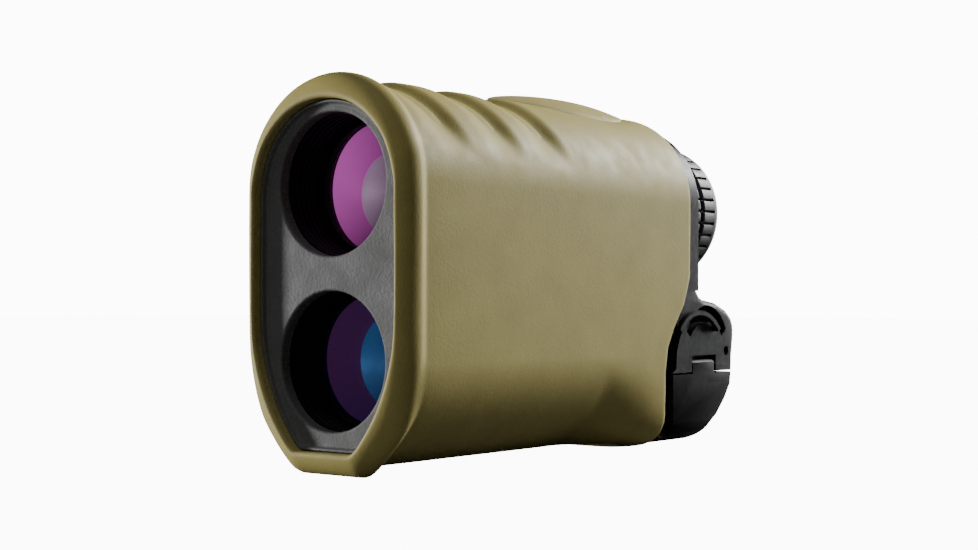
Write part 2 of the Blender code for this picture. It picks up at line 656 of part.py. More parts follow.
def electronics():
    finish("main_board", box(-16.2, -15.0, 33, 83, -30, -2.4), circuit_board(), smooth=False)
    finish("processor_chip", box(-14.7, -13.8, 64, 74, -22, -12), chip_plastic(), smooth=False)
    finish("pulse_transformer", box(-14.7, -12.2, 50, 57, -22, -15), chip_plastic(), smooth=False)
    finish("receiver_board", box(-11.4, 11.4, 54.2, 55.4, -43.4, -21.4), circuit_board(), smooth=False)
    z = -AXIS_SPACING
    finish("detector", rod((0, 50.3, z), (0, 53.9, z), 3.9), steel())
    angles = [math.radians(176 - 68 * k / 12) for k in range(13)]
    outer = [(16.3 * math.cos(a), 16.3 * math.sin(a)) for a in angles]
    inner = [(16.0 * math.cos(a), 16.0 * math.sin(a)) for a in reversed(angles)]
    finish("switch_flex", section_prism(outer + inner, 75.5, 80.5), flex_film(), smooth=False)


# Eyepiece
def toothed_rings(crest, root, stations):
    """Rings of a toothed sleeve: four points per tooth, gaps narrower than teeth."""
    pitch = math.tau / DIOPTER_TEETH
    rings = []
    for y, height in stations:
        ring = []
        for tooth in range(DIOPTER_TEETH):
            for share, is_crest in ((0.0, False), (0.13, False), (0.19, True), (0.94, True)):
                radius = root + (crest - root) * (height if is_crest else 0.0)
                angle = (tooth + share) * pitch
                ring.append((radius * math.cos(angle), y, EYE_Z + radius * math.sin(angle)))
        rings.append(ring)
    return rings


def circles(pattern, profile):
    """Plain circles whose points line up with those of a toothed ring."""
    rings = []
    for radius, y in profile:
        rings.append([(x * radius / math.hypot(x, z - EYE_Z), y,
                       EYE_Z + (z - EYE_Z) * radius / math.hypot(x, z - EYE_Z)) for x, _, z in pattern])
    return rings


def eyepiece():
    barrel = [(10.2, 94.6), (12.9, 94.6), (12.9, 96.8), (11.2, 96.8), (11.2, 111.0), (10.2, 111.0)]
    finish("eyepiece_barrel", turned(barrel, EYE_Z), black_alloy())
    rings = toothed_rings(15.7, 14.9, [(99.5, 0.0), (99.9, 1.0), (104.5, 1.0), (104.9, 0.0)])
    rings += circles(rings[0], [(14.0, 105.0), (11.5, 105.0), (11.5, 99.4), (14.0, 99.4)])
    finish("diopter_ring", skin(rings, True), black_plastic(), origin=(0, 102.2, EYE_Z))
    rings = toothed_rings(15.7, 14.9, [(106.3, 0.0), (106.5, 1.0), (110.4, 1.0), (110.7, 0.9)])
    rings += circles(rings[0], [(15.7, 111.0), (15.65, 111.8), (15.1, 113.0), (14.1, 114.4), (12.9, 115.6),
                                (11.8, 116.1), (10.7, 115.8), (10.0, 114.8), (9.9, 113.9), (11.5, 113.4),
                                (11.5, 105.3), (14.2, 105.3), (14.2, 106.2)])
    finish("eyecup", skin(rings, True), eyecup_rubber(), origin=(0, 110.7, EYE_Z))
    cell = [(8.7, 98.0), (9.85, 98.0), (9.85, 111.6), (8.2, 111.6), (8.2, 111.2), (8.7, 110.9)]
    finish("ocular_cell", turned(cell, EYE_Z), black_alloy(), origin=(0, 104.8, EYE_Z))
    lens("field_lens", EYE_Z, 8.4, 99.8, 101.6, 1.2, 0.4, clear_glass())
    lens("eye_lens", EYE_Z, 8.4, 107.0, 109.2, 1.0, 1.2, clear_glass())


clear_scene()
armour_sleeve()
fire_button()
fire_switch()
housing()
case_screws()
strap_bar()
battery_door()
battery()
front_bezel()
viewing_objective()
receiver_objective()
optical_chassis()
laser_emitter()
display()
electronics()
eyepiece()
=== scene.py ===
"""Looks of the handheld laser rangefinder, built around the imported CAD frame.

Design coordinates are millimetres: y runs back from the bezel face, z up from the viewing
axis, x to the strap bar side. SHIFT moves them into the frame, which is in metres.
"""
import math

import bmesh
import bpy
import numpy as np
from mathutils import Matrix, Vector


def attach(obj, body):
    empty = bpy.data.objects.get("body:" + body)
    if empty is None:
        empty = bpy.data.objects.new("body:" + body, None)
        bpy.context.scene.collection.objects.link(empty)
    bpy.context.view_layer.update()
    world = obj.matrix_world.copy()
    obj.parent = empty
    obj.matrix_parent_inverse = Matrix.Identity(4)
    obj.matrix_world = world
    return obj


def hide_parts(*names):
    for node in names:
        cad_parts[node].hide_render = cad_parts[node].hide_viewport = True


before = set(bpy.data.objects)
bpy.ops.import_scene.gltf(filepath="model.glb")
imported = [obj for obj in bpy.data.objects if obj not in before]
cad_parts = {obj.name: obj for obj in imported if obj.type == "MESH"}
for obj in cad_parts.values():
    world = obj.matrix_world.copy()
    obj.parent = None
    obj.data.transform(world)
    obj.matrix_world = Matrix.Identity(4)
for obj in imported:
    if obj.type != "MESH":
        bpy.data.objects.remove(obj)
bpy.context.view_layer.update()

MM = 0.001
SHIFT = Vector((0.0, -56.6, 53.3))
AXIS_SPACING = 32.46
RECEIVER_Z = -AXIS_SPACING
BASE_Z = -53.3
LIP_FRONT = -2.9
ARMOUR_R, ARMOUR_FLOOR, LINING_R = 20.0, -51.8, 18.7
HOUSING_R, HOUSING_FRONT = 18.4, 2.9
NECK = 2.4                  # length over which the lip runs into the armour
BUTTON_FRONT, BUTTON_REAR, BUTTON_HALF = 46.0, 90.5, 8.6
TEETH, EYE_Z = 36, -1.0
REAR_WALL = 99.0
BULGE_X, BULGE_FRONT, BULGE_FLOOR = 18.2, 84.9, -52.2
DOOR_TOP, DOOR_FRONT, DOOR_GAP = -37.5, 88.6, 0.4
TAB_Y0, TAB_Y1, TAB_TOP = 96.9, 106.1, -34.4
HINGE_X, HINGE_Z = -18.2, -37.55
SLOT_Y, SLOT_Z, STRAP_Y, STRAP_R = 102.7, -34.8, 98.0, 10.9
OUTLINE_POINTS = 264        # points around each armour, bezel and housing section
NO_FLOOR = -60.0            # below every section
BEAD = 4.3                  # depth of the rolled front bead of the lip
EDGE_ROLL = 0.9             # radius of the armour's rear edge
LINING_FRONT = 2.6          # the armour's lining and the opening wall meet here
CREASE_GAP = 0.16           # gap around the button
BOSS_Y, BOSS_R, BOSS_HOLE_R = 78, 3.4, 4.2
DISC_STEPS = 14             # rings across a lens
BARREL_R, BARREL_ROOM, PIN_R = 1.4, 1.75, 0.75
SCREW_Y, SCREW_Z, SCREW_R = 111.6, -32.6, 1.05
HALF_GAP = 0.15             # each housing half stops this short of the middle
FAR = 30                    # cutters end this far from the middle, beyond the part
BODY, BUTTON, DOOR = "rangefinder_body", "fire_button_body", "battery_door_body"
DIOPTER = "diopter_body"


# Shader helpers
class Shader:
    """Principled material with procedural colour, roughness and bump in object space."""

    def __init__(self, name, color, roughness, **sockets):
        self.mat = bpy.data.materials.new(name)
        self.mat.use_nodes = True
        self.tree = self.mat.node_tree
        self.bsdf = self.tree.nodes["Principled BSDF"]
        self.bsdf.inputs["Base Color"].default_value = (*color, 1.0)
        self.bsdf.inputs["Roughness"].default_value = roughness
        for key, value in sockets.items():
            self.bsdf.inputs[key.replace("_", " ")].default_value = value
        coords = self.node("ShaderNodeTexCoord")
        scale = self.node("ShaderNodeMapping")
        scale.inputs["Scale"].default_value = (1000, 1000, 1000)
        self.link(coords.outputs["Object"], scale.inputs["Vector"])
        self.point = scale.outputs["Vector"]

    def node(self, kind, **props):
        node = self.tree.nodes.new(kind)
        for key, value in props.items():
            setattr(node, key, value)
        return node

    def link(self, a, b):
        self.tree.links.new(a, b)

    def noise(self, size, detail=3.0, rough=0.55):
        """Noise whose features are about `size` millimetres across."""
        node = self.node("ShaderNodeTexNoise")
        self.link(self.point, node.inputs["Vector"])
        node.inputs["Scale"].default_value = 1.0 / size
        node.inputs["Detail"].default_value = detail
        node.inputs["Roughness"].default_value = rough
        return node.outputs["Fac"]

    def remap(self, value, low, high, out_low, out_high):
        node = self.node("ShaderNodeMapRange")
        self.link(value, node.inputs["Value"])
        limits = {"From Min": low, "From Max": high, "To Min": out_low, "To Max": out_high}
        for key, number in limits.items():
            node.inputs[key].default_value = number
        return node.outputs["Result"]

    def math(self, operation, a, b):
        node = self.node("ShaderNodeMath", operation=operation)
        for socket, value in zip(node.inputs, (a, b)):
            if isinstance(value, (int, float)):
                socket.default_value = value
            else:
                self.link(value, socket)
        return node.outputs[0]

    def mix(self, factor, a, b):
        node = self.node("ShaderNodeMix", data_type="RGBA")
        self.link(factor, node.inputs[0])
        for socket, value in ((node.inputs[6], a), (node.inputs[7], b)):
            if isinstance(value, tuple):
                socket.default_value = (*value, 1.0)
            else:
                self.link(value, socket)
        return node.outputs[2]

    def bump(self, height, distance_mm):
        node = self.node("ShaderNodeBump")
        node.inputs["Strength"].default_value = 1.0
        node.inputs["Distance"].default_value = distance_mm * MM
        self.link(height, node.inputs["Height"])
        self.link(node.outputs["Normal"], self.bsdf.inputs["Normal"])

    def edges(self):
        """1 on worn convex edges, 0 elsewhere."""
        geometry = self.node("ShaderNodeNewGeometry")
        return self.remap(geometry.outputs["Pointiness"], 0.51, 0.56, 0.0, 1.0)


def moulded(name, color, light, roughness, grain, depth, wear=0.35, **sockets):
    """Moulded rubber or plastic: fine grain, faint mottling, paler worn edges."""
    s = Shader(name, color, roughness, **sockets)
    mottle = s.remap(s.noise(9.0, 4.0), 0.3, 0.7, 0.0, 1.0)
    darker = tuple(c * 0.88 for c in color)
    base = s.mix(mottle, darker, color)
    worn = s.math("MULTIPLY", s.edges(), s.remap(s.noise(1.6), 0.35, 0.65, wear * 0.4, wear))
    s.link(s.mix(worn, base, light), s.bsdf.inputs["Base Color"])
    rub = s.remap(s.noise(5.0, 5.0), 0.3, 0.7, roughness - 0.07, roughness + 0.07)
    s.link(rub, s.bsdf.inputs["Roughness"])
    s.bump(s.noise(grain, 2.0, 0.6), depth)
    return s.mat


def brushed_metal(name, color, roughness):
    """Metal with fine streaks along y."""
    s = Shader(name, color, roughness, Metallic=1.0)
    streak = s.node("ShaderNodeMapping")
    streak.inputs["Scale"].default_value = (6.0, 0.4, 6.0)
    s.link(s.point, streak.inputs["Vector"])
    lines = s.node("ShaderNodeTexNoise")
    s.link(streak.outputs["Vector"], lines.inputs["Vector"])
    lines.inputs["Scale"].default_value = 1.5
    s.link(s.remap(lines.outputs["Fac"], 0.3, 0.7, roughness - 0.08, roughness + 0.1),
           s.bsdf.inputs["Roughness"])
    tint = s.mix(lines.outputs["Fac"], tuple(c * 0.75 for c in color), color)
    s.link(tint, s.bsdf.inputs["Base Color"])
    s.bump(lines.outputs["Fac"], 0.01)
    return s.mat


def glass(name, color, alpha, roughness=0.03, coat=1.0):
    """Thin see-through tint with a clear coat and a trace of dust."""
    s = Shader(name, color, roughness, Alpha=alpha, Coat_Weight=coat, Coat_Roughness=0.02)
    dust = s.remap(s.noise(0.9, 4.0), 0.45, 0.8, roughness, roughness + 0.08)
    s.link(dust, s.bsdf.inputs["Roughness"])
    return s.mat


def painted_reflection(name, centre, left, right, span, roughness, metallic, painted_emission_strength):
    """Surface painted with a reflection, bright at its upper left and dark at its lower right,
    seen from the front.

    Its emission is painted light standing for the lit coating: the part shines though it is no
    lamp."""
    # The emission is painted light: the coating shines though nothing here is a lamp.
    s = Shader(name, left, roughness, Metallic=metallic, Emission_Strength=painted_emission_strength)
    split = s.node("ShaderNodeSeparateXYZ")
    s.link(s.point, split.inputs[0])
    across = s.math("SUBTRACT", split.outputs["X"], centre[0])
    down = s.math("SUBTRACT", centre[1] + SHIFT.z, split.outputs["Z"])
    # Painted reflection: the lit colour at the upper left fades to the shaded colour at the lower
    # right.
    lit_to_shaded = s.math("ADD", across, s.math("MULTIPLY", down, 0.35))
    tint = s.mix(s.remap(lit_to_shaded, -span, span, 0.0, 1.0), left, right)
    s.link(tint, s.bsdf.inputs["Base Color"])
    s.link(tint, s.bsdf.inputs["Emission Color"])
    s.bump(s.noise(4.0, 2.0), 0.02)
    return s.mat


def board_material(name):
    """Green board with paler traces."""
    s = Shader(name, (0.02, 0.13, 0.05), 0.35)
    bricks = s.node("ShaderNodeTexBrick")
    s.link(s.point, bricks.inputs["Vector"])
    bricks.inputs["Scale"].default_value = 0.6
    bricks.inputs["Color1"].default_value = (0.02, 0.13, 0.05, 1)
    bricks.inputs["Color2"].default_value = (0.015, 0.1, 0.04, 1)
    bricks.inputs["Mortar"].default_value = (0.05, 0.24, 0.1, 1)
    s.link(bricks.outputs["Color"], s.bsdf.inputs["Base Color"])
    s.bump(bricks.outputs["Fac"], 0.03)
    return s.mat


RUBBER = moulded("olive_rubber", (0.345, 0.292, 0.092), (0.50, 0.46, 0.26), 0.6, 0.45, 0.035, 0.5,
                 Specular_IOR_Level=0.14)
BLACK = moulded("black_moulding", (0.002, 0.002, 0.0024), (0.04, 0.04, 0.045), 0.42, 0.25, 0.012,
                Specular_IOR_Level=0.07)
# The same black moulding as the housing, made darker for the door as painted shade.
SHADED_DOOR_BLACK = moulded("door_moulding_painted_shade", (0.0015, 0.0015, 0.0015), (0.015, 0.015, 0.015), 0.5, 0.25,
                     0.012, Specular_IOR_Level=0.05)
BEZEL = moulded("bezel_texture", (0.09, 0.089, 0.089), (0.12, 0.12, 0.12), 0.72, 0.7, 0.11,
                Specular_IOR_Level=0.35)
CUP = moulded("eyecup_rubber", (0.045, 0.045, 0.047), (0.13, 0.13, 0.13), 0.62, 0.3, 0.015)
ALLOY = moulded("black_alloy", (0.003, 0.003, 0.003), (0.01, 0.01, 0.01), 0.6, 0.35, 0.01, 0.2,
                Specular_IOR_Level=0.15)
STEEL = brushed_metal("satin_steel", (0.55, 0.55, 0.55), 0.32)
BRASS = brushed_metal("plain_brass", (0.72, 0.5, 0.2), 0.3)
CLEAR = glass("clear_glass", (0.8, 0.85, 0.88), 0.3)
FILTER = glass("filter_glass", (0.25, 0.02, 0.05), 0.6)
BOARD = board_material("circuit_board")
CHIP = moulded("chip_epoxy", (0.015, 0.015, 0.016), (0.06, 0.06, 0.06), 0.45, 0.2, 0.01)
FLEX = moulded("flex_film", (0.42, 0.16, 0.02), (0.6, 0.3, 0.08), 0.3, 1.2, 0.02)
WRAP = moulded("battery_wrap", (0.05, 0.11, 0.22), (0.2, 0.3, 0.45), 0.28, 2.0, 0.01)

CARRIED = {
    ALLOY: ("objective_tube", "receiver_tube", "objective_retainer", "receiver_retainer",
            "laser_mount", "eyepiece_barrel", "ocular_cell"),
    BLACK: ("optical_chassis", "display_frame", "receiver_baffle_cone", "strap_bar"),
    CLEAR: ("laser_splitter", "half_penta_prism", "roof_prism", "display_glass", "field_lens",
            "eye_lens"),
    FILTER: ("receiver_filter",),
    BOARD: ("main_board", "receiver_board"),
    CHIP: ("fire_switch", "processor_chip", "pulse_transformer"),
    STEEL: ("switch_bracket", "case_screw_front", "case_screw_rear", "door_hinge_pin",
            "battery_contact_spring", "detector"),
    BRASS: ("battery_contact_plate", "laser_diode"),
    FLEX: ("switch_flex",),
    WRAP: ("battery",),
}
for finish, names in CARRIED.items():
    for name in names:
        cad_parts[name].data.materials.clear()
        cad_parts[name].data.materials.append(finish)


# Mesh helpers
def make_object(name, verts, faces):
    """Object from points in design millimetres, faces turned outward, not linked yet."""
    mesh = bpy.data.meshes.new(name)
    points = (np.asarray(verts, dtype=float) + np.array(SHIFT)) * MM
    mesh.from_pydata(points.tolist(), [], faces)
    bm = bmesh.new()
    bm.from_mesh(mesh)
    bmesh.ops.recalc_face_normals(bm, faces=bm.faces[:])
    bm.to_mesh(mesh)
    bm.free()
    return bpy.data.objects.new(name, mesh)


def adopt(obj, mat, body, replaced=(), sharp=40):
    """Give a new object its material, its body and the nodes it stands for."""
    obj.data.materials.clear()
    obj.data.materials.append(mat)
    obj.data.shade_smooth()
    obj.data.set_sharp_from_angle(angle=math.radians(sharp))
    if obj.name not in bpy.context.scene.collection.objects:
        bpy.context.scene.collection.objects.link(obj)
    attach(obj, body)
    if replaced:
        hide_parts(*replaced)
    return obj


def piece(name, rings, closed, mat, body, replaced=(), sharp=40):
    return adopt(make_object(name, *bridge(rings, closed)), mat, body, replaced, sharp)


def bridge(rings, closed):
    """Vertices and quads between rings of equal count; a closed tube or one with capped ends."""
    count = len(rings[0])
    verts = [p for ring in rings for p in ring]
    faces = []
    last = len(rings) if closed else len(rings) - 1
    for i in range(last):
        a, b = i * count, ((i + 1) % len(rings)) * count
        for k in range(count):
            n = (k + 1) % count
            faces.append((a + k, a + n, b + n, b + k))
    if not closed:
        faces.append(tuple(range(count)))
        faces.append(tuple((len(rings) - 1) * count + k for k in range(count)))
    return verts, faces


def turned_rings(profile, z=0.0, segments=128):
    """Rings of a (radius, y) profile turned about the y direction at height z."""
    angles = [math.tau * k / segments for k in range(segments)]
    return [[(r * math.cos(a), y, z + r * math.sin(a)) for a in angles] for r, y in profile]


def catmull(points, steps=16):
    """Dense smooth curve through a half outline, level where it meets its mirror image."""
    (x1, z1), (x2, z2) = points[1], points[-2]
    padded = [(-x1, z1)] + list(points) + [(-x2, z2)]
    curve = []
    for a, b, c, d in zip(padded, padded[1:], padded[2:], padded[3:]):
        for k in range(steps):
            t = k / steps
            curve.append(tuple(
                0.5 * (2 * b[i] + (c[i] - a[i]) * t
                       + (2 * a[i] - 5 * b[i] + 4 * c[i] - d[i]) * t * t
                       + (3 * b[i] - a[i] - 3 * c[i] + d[i]) * t ** 3) for i in range(2)))
    curve.append(points[-1])
    return curve


def resample(curve, count):
    """Even steps along a closed polyline."""
    loop = np.array(list(curve) + [curve[0]], float)
    lengths = np.concatenate([[0], np.cumsum(np.linalg.norm(np.diff(loop, axis=0), axis=1))])
    targets = np.linspace(0, lengths[-1], count, endpoint=False)
    return np.stack([np.interp(targets, lengths, loop[:, i]) for i in range(2)], axis=1)


def mirrored(half):
    """Whole outline from its x >= 0 half."""
    return list(half) + [(-x, z) for x, z in reversed(half[1:-1])]


def section(half, floor=NO_FLOOR):
    """Closed outline through the points of a half outline, cut off flat at the floor."""
    out = resample(mirrored(catmull(half)), OUTLINE_POINTS)
    out[:, 1] = np.maximum(out[:, 1], floor)
    return out


def stadium(radius, floor=NO_FLOOR, count=OUTLINE_POINTS):
    """Two half circles, around the viewing and receiver axes, joined by straight sides."""
    arc = [math.pi * k / 120 for k in range(121)]
    half = [(radius * math.sin(a), radius * math.cos(a)) for a in arc if a <= math.pi / 2]
    half += [(radius * math.sin(a), radius * math.cos(a) - AXIS_SPACING)
             for a in arc if a >= math.pi / 2]
    out = resample(mirrored(half), count)
    out[:, 1] = np.maximum(out[:, 1], floor)
    return out


def at(outline, y):
    """Points of an (x, z) outline standing at y, which may differ from point to point."""
    return np.column_stack([outline[:, 0], np.broadcast_to(y, len(outline)), outline[:, 1]])


def smoothstep(low, high, value):
    t = np.clip((value - low) / (high - low), 0.0, 1.0)
    return t * t * (3 - 2 * t)


# Booleans and other modifiers
def solid(rings):
    """Closed body used only by a Boolean."""
    obj = make_object("tool", *bridge(rings, False))
    bpy.context.scene.collection.objects.link(obj)
    return obj


def prism_x(outline, x0, x1):
    return solid([[(x, y, z) for y, z in outline] for x in (x0, x1)])


def prism_y(outline, y0, y1):
    return solid([[(x, y, z) for x, z in outline] for y in (y0, y1)])


def prism_z(outline, z0, z1):
    return solid([[(x, y, z) for x, y in outline] for z in (z0, z1)])


def block(x0, x1, y0, y1, z0, z1):
    return prism_y([(x0, z0), (x1, z0), (x1, z1), (x0, z1)], y0, y1)


def circle(a, b, radius, sides):
    angles = [math.tau * k / sides for k in range(sides)]
    return [(a + radius * math.cos(t), b + radius * math.sin(t)) for t in angles]


def rod_y(x, z, radius, y0, y1, sides=48):
    return prism_y(circle(x, z, radius, sides), y0, y1)


def bake_modifiers(obj):
    """Replace an object's mesh by what its modifiers make of it."""
    bpy.context.view_layer.update()
    graph = bpy.context.evaluated_depsgraph_get()
    mesh = bpy.data.meshes.new_from_object(obj.evaluated_get(graph))
    mesh.name = obj.name
    obj.modifiers.clear()
    obj.data = mesh


def apply_boolean(obj, tool, operation="DIFFERENCE"):
    mod = obj.modifiers.new("cut", "BOOLEAN")
    mod.operation = operation
    mod.solver = "EXACT"
    mod.object = tool
    bake_modifiers(obj)
    bpy.data.objects.remove(tool, do_unlink=True)


def flatten_normals(obj):
    """Keep large flat faces flat beside their rounded edges."""
    mod = obj.modifiers.new("weighted", "WEIGHTED_NORMAL")
    mod.keep_sharp = True
    mod.weight = 80
    bake_modifiers(obj)


def soften(obj, width):
    """Small rounded edges that catch the light."""
    mod = obj.modifiers.new("edges", "BEVEL")
    mod.width = width * MM
    mod.segments = 2
    mod.limit_method = "ANGLE"
    mod.angle_limit = math.radians(40)
    bake_modifiers(obj)


# Armour
LIP_HALF = [(0, 20.5), (8, 18.9), (14.4, 14.6), (18.9, 8), (20.5, 0), (20.4, -22.5),
            (20.0, -34), (17.6, -42.8), (13.6, -48.4), (9.6, -52.2), (7.6, -53.2), (5.5, -53.4),
            (0, -53.4)]
OPENING_HALF = [(0, 15.5), (8, 13.6), (14.3, 8.2), (17.2, 1), (17.5, -6), (17.5, -25),
                (16.3, -33.2), (13.3, -40.8), (9.4, -46.6), (7.7, -48.4), (6.9, -48.9), (5.8, -49),
                (0, -49)]
REAR_EDGE = [(-54, 84.4), (-47.6, 84.1), (-44, 83.3), (-37, 83.1), (-31.5, 84.1), (-27, 86.8),
             (-22, 90.8), (-16, 93.2), (21, 93.6)]


def leaf_half_width(y, grow=0.0):
    """Half width of the button's leaf outline: pointed at the front, round at the rear."""
    front, rear = BUTTON_FRONT - grow, BUTTON_REAR + grow
    t = np.clip((y - front) / (rear - front), 0.0, 1.0)
    widest = 0.68
    nose = np.sin(np.pi / 2 * np.clip(t / widest, 0, 1)) ** 1.1
    tail = np.sqrt(np.clip(1 - ((t - widest) / (1 - widest)) ** 2, 0, 1))
    return (BUTTON_HALF + grow) * np.where(t > widest, tail, nose)


def rear_edge(z):
    """Where the armour ends at each height."""
    return np.interp(z, *zip(*REAR_EDGE))


def finger_grooves(y, z):
    """Three scallops across the top: gentle from the front, steep at the rear."""
    depth = np.zeros_like(y)
    for start in (10.0, 26.0, 41.0):
        offset = y - start - (20 - z) * 0.33
        width = np.where(offset < 0, 8.0, 4.7)
        depth += 0.5 * (1 + np.cos(np.pi * np.clip(np.abs(offset) / width, 0, 1)))
    return 1.4 * depth * smoothstep(4, 13, z)


def button_dip(x, y, z):
    """The armour sinks a little towards the edge of the button."""
    distance = np.abs(x) - leaf_half_width(y)
    near = np.exp(-(np.clip(distance, 0, None) / 1.6) ** 2)
    along = (smoothstep(BUTTON_FRONT - 3, BUTTON_FRONT + 3, y)
             * (1 - smoothstep(BUTTON_REAR, BUTTON_REAR + 2, y)))
    return 0.35 * near * along * (z > 0)


def flare(x, y, z):
    """Square the section below the receiver axis towards the rear, around the battery."""
    share = smoothstep(60, 84, y)
    below = np.maximum(-AXIS_SPACING - z, 0.0)
    low = below > 1e-6
    reach = np.where(low, np.hypot(x, below), 1.0)
    power = 2 + 2.8 * share
    tall = ARMOUR_R + share * (-AXIS_SPACING - BASE_Z - ARMOUR_R)
    sideways, downward = np.abs(x) / reach / ARMOUR_R, below / reach / tall
    scale = (sideways ** power + downward ** power) ** (-1 / power)
    floor = ARMOUR_FLOOR + smoothstep(74, 80, y) * (BASE_Z - ARMOUR_FLOOR)
    return (np.where(low, x / reach * scale, x),
            np.where(low, np.maximum(-AXIS_SPACING - below / reach * scale, floor), z))


def armour_surface(x, y, z):
    """Points of the sleeve's outside, with its grooves, thumb scoop and crease."""
    x, z = flare(x, y, z)
    centre = np.clip(z, -AXIS_SPACING, 0.0)
    outward = np.stack([x, np.zeros_like(x), z - centre], axis=1)
    outward /= np.linalg.norm(outward, axis=1, keepdims=True)
    scoop = 0.7 * np.exp(-((y - 70) / 8) ** 2 - ((z + 44) / 6) ** 2)
    amount = -finger_grooves(y, z) - scoop - button_dip(x, y, z)
    return np.stack([x, y, z], axis=1) + outward * amount[:, None]


def lip_rings(lip, opening):
    """From inside the opening, over the front of the lip, to the widest ring of its bead."""
    def ring(share, y):
        return at(opening + (lip - opening) * share, y)

    rings = [at(opening, LINING_FRONT), ring(0, -2.1), ring(0.01, -2.45), ring(0.05, -2.75),
             ring(0.11, -2.88)]
    steps, first = 18, math.radians(12)
    for k in range(steps + 1):
        phase = first + (math.pi / 2 - first) * k / steps
        share = 0.17 + 0.83 * (math.sin(phase) - math.sin(first)) / (1 - math.sin(first))
        rings.append(ring(share, LIP_FRONT + BEAD * (math.cos(first) - math.cos(phase))))
    return rings, LIP_FRONT + BEAD * math.cos(first)


def sleeve_rings(neck, start):
    """The outside of the sleeve, from the end of the neck back to its rear edge."""
    x, z = stadium(ARMOUR_R).T
    rear = rear_edge(flare(x, np.full(len(x), 90.0), z)[1])
    offset = neck - stadium(ARMOUR_R, ARMOUR_FLOOR)
    rings, stations = [], 150
    for step in range(1, stations + 1):
        y = start + step / stations * (rear - EDGE_ROLL - start)
        ring = armour_surface(x, y, z)
        ring[:, [0, 2]] += offset * np.exp(-(y - start) / 3.0)[:, None]
        rings.append(ring)
    return rings, rear


def armour():
    lip, opening = section(LIP_HALF, BASE_Z), section(OPENING_HALF)
    rings, bead_end = lip_rings(lip, opening)
    neck = stadium(ARMOUR_R, ARMOUR_FLOOR) * np.array([0.995, 0.997])
    neck[:, 1] = np.maximum(neck[:, 1], ARMOUR_FLOOR)
    for k in range(1, 9):
        share = k / 8
        rings.append(at(lip + (neck - lip) * smoothstep(0, 1, share), bead_end + NECK * share))
    sleeve, rear = sleeve_rings(neck, bead_end + NECK)
    rings += sleeve
    lining = stadium(LINING_R)
    last, inward = sleeve[-1][:, [0, 2]], lining - sleeve[-1][:, [0, 2]]
    for k in range(1, 5):
        a = math.pi / 2 * k / 4
        pull = (1 - math.cos(a)) * 0.55 / np.maximum(np.hypot(*inward.T) / 1.3, 1)
        rings.append(at(last + inward * pull[:, None], rear - EDGE_ROLL + EDGE_ROLL * math.sin(a)))
    rings += [at(lining, rear), at(lining, LINING_FRONT)]
    skin = piece("armour_skin", [r.tolist() for r in rings], True, RUBBER, BODY,
                 ("armor_sleeve",), 50)
    apply_boolean(skin, leaf_cutter(CREASE_GAP, 12.0, 30.0))


def cosine_steps(count):
    """Shares between 0 and 1, closer together near both ends."""
    return (1 - np.cos(np.pi * np.arange(1, count) / count)) / 2


def leaf_cutter(grow, z0, z1):
    front, rear = BUTTON_FRONT - grow, BUTTON_REAR + grow
    y = front + (rear - front) * cosine_steps(72)
    right = list(zip(leaf_half_width(y, grow), y))
    left = [(-x, v) for x, v in reversed(right)]
    return prism_z([(0, front)] + right + [(0, rear)] + left, z0, z1)


def fire_button():
    """Crowned leaf whose edge rolls down into the crease around it."""
    u = np.sin(np.pi / 2 * np.linspace(-1, 1, 41))
    under = HOUSING_R + 1.3
    rings = []
    for t in cosine_steps(90):
        y = BUTTON_FRONT + (BUTTON_REAR - BUTTON_FRONT) * t
        x = float(leaf_half_width(np.array(y))) * u
        tail = float(smoothstep(0.62, 1.0, t))
        crown = 2.1 * math.sin(math.pi * t) ** (0.6 + 0.25 * tail)
        roll = (0.35 - 0.2 * tail) * np.clip(np.abs(u) - 0.9, 0, None) ** 2 / 0.01
        top = np.sqrt(ARMOUR_R ** 2 - x * x) + 0.1 + crown * (1 - u * u) ** 1.3 - roll
        bottom = np.sqrt(under ** 2 - x * x) - 0.35
        top = np.maximum(top, bottom + 0.05)
        rings.append([(a, y, b) for a, b in zip(x, top)]
                     + [(a, y, b) for a, b in zip(x[::-1], bottom[::-1])])
    button = piece("fire_button_cap", rings, False, RUBBER, BUTTON,
                   ("fire_button",), 50)
    apply_boolean(button, prism_z(circle(0, BOSS_Y, BOSS_R, 48), 16.4, 20.4), "UNION")


# Bezel, tubes and lenses
def bezel():
    """Textured plate with a raised rim and two apertures with rounded edges."""
    centre = np.array([0, -16.6])
    outline = (section(OPENING_HALF) - centre) * np.array([0.992, 0.994])
    half_size = np.array([17.4, 32.3])
    steps = ((0, 2.3), (0, -0.7), (0.15, -0.95), (0.45, -0.95), (0.6, -0.7), (0.65, -0.25),
             (0.85, -0.05), (1.2, 0.0))
    rings = [at(centre + outline * (1 - inset / half_size), y).tolist() for inset, y in steps]
    plate = piece("bezel_plate", rings, False, BEZEL, BODY, ("front_bezel",), 35)
    lead = 0.55
    for z, radius in ((0.0, 13.2), (RECEIVER_Z, 12.95)):
        edge = [(radius + lead * (1 - math.sin(a)), lead * (1 - math.cos(a)))
                for a in np.linspace(math.pi / 2, 0, 6)]
        profile = [(radius, 4.0)] + edge + [(radius + lead, -4.0)]
        apply_boolean(plate, solid(turned_rings(profile, z, 144)))
    plate.data.set_sharp_from_angle(angle=math.radians(50))
    flatten_normals(plate)


def lens_piece(name, rings, closed, mat, replaced=()):
    piece(name, rings, closed, mat, BODY, replaced, 50)


